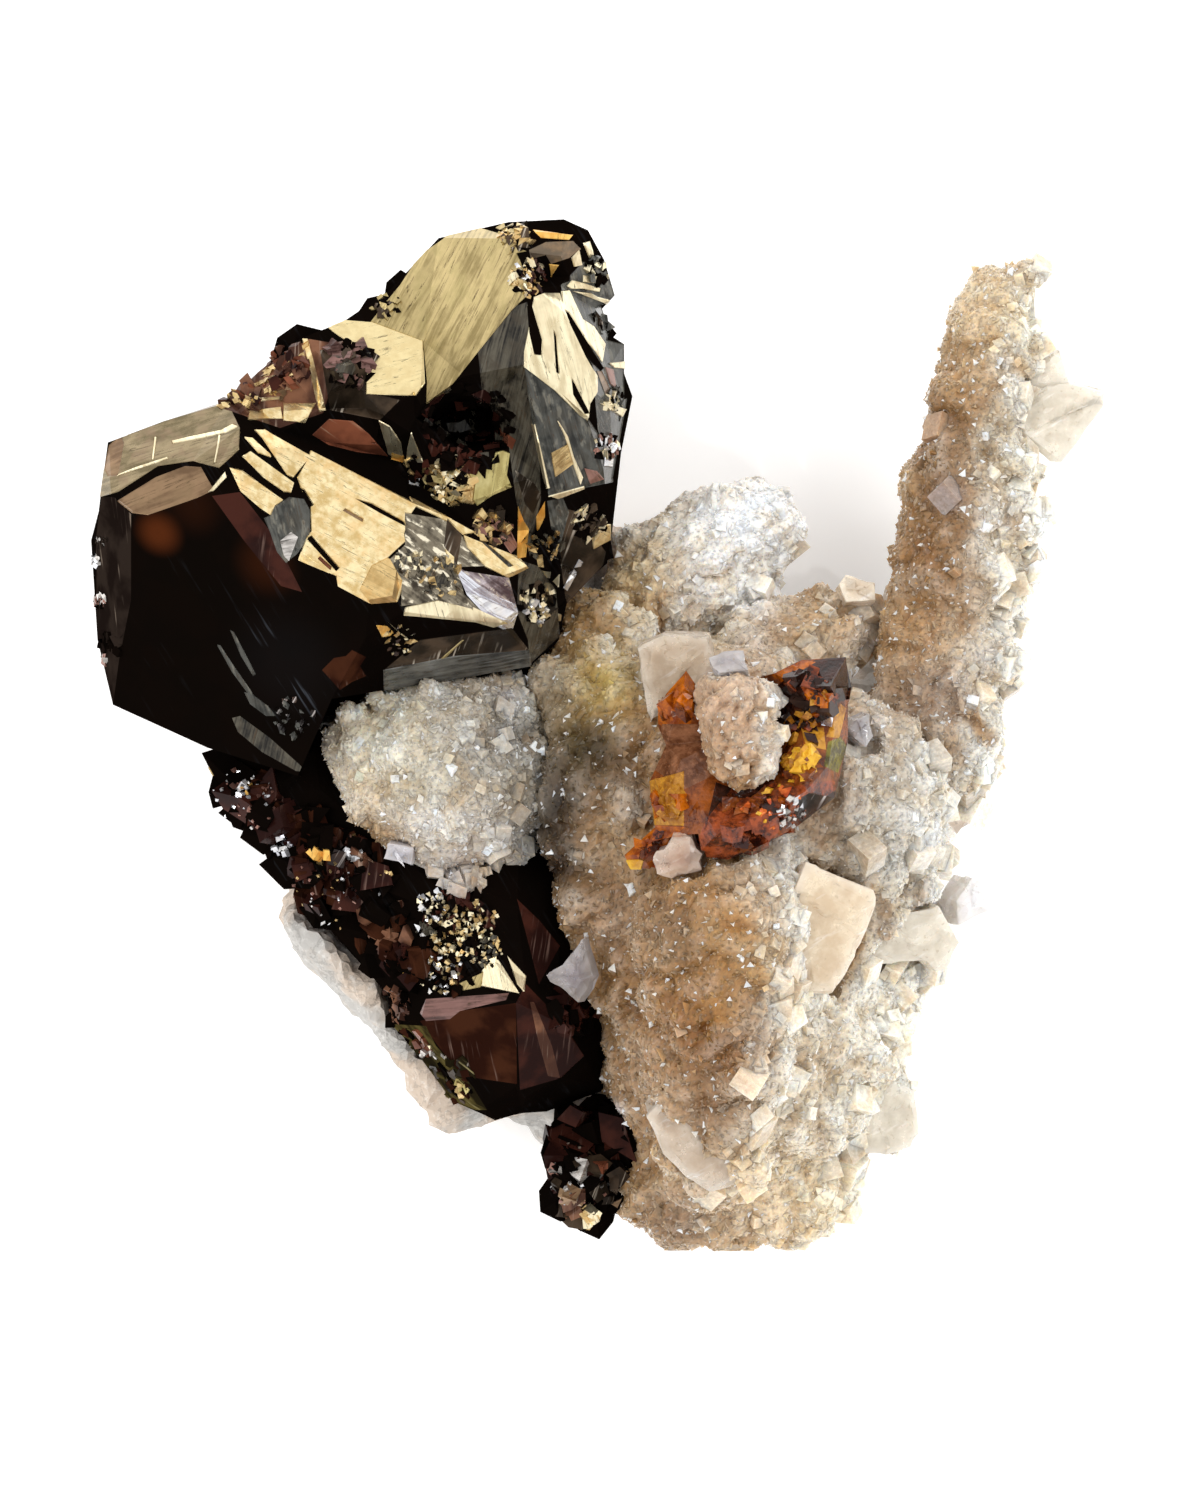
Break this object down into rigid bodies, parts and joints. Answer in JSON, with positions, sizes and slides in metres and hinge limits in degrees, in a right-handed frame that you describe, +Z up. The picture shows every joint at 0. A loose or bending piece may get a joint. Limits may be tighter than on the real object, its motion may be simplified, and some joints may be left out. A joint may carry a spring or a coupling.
{
  "type": "sphalerite specimen",
  "caption": "Mineral specimen: dark mirror-faced sphalerite groups and an amber sphalerite crystal with calcite rhombs on druse-coated quartz and pale rock.",
  "frame": {"origin": "centre of the bounding box's lowest face: the specimen lies on its flat-cut back, which is z = 0", "axes": "+Z up to the viewer who looks down on the show side, +Y along the long druse arm, +X to the arm's side, away from the large dark crystals"},
  "size_m": [0.0762, 0.0776, 0.0369],
  "materials": {
    "dark_sphalerite": "near-black sphalerite with mirror-bright golden crystal faces",
    "amber_sphalerite": "clear amber to red-brown sphalerite crystal",
    "quartz_druse": "tan to grey-white sparkling quartz druse",
    "calcite": "pale pinkish translucent calcite cleavage rhombs",
    "matrix_rock": "pale cream and light grey carbonate rock, sawn flat below"
  },
  "bodies": {
    "root": {"matrix_rock": "matrix_rock", "sphalerite_main": "dark_sphalerite", "sphalerite_lower": "dark_sphalerite", "sphalerite_foot": "dark_sphalerite", "sphalerite_amber": "amber_sphalerite", "quartz_body": "quartz_druse", "quartz_finger": "quartz_druse", "quartz_ball": "quartz_druse", "quartz_knob": "quartz_druse", "quartz_egg": "quartz_druse", "calcite_large": "calcite", "calcite_seat": "calcite", "calcite_right": "calcite", "calcite_tablet": "calcite", "calcite_blade": "calcite", "calcite_fan": "calcite", "calcite_edge": "calcite", "calcite_wing": "calcite", "calcite_fin": "calcite", "calcite_thorn": "calcite", "calcite_cap": "calcite", "calcite_pink": "calcite", "calcite_lilac": "calcite", "calcite_corner": "calcite", "calcite_crest": "calcite"}
  },
  "joints": []
}
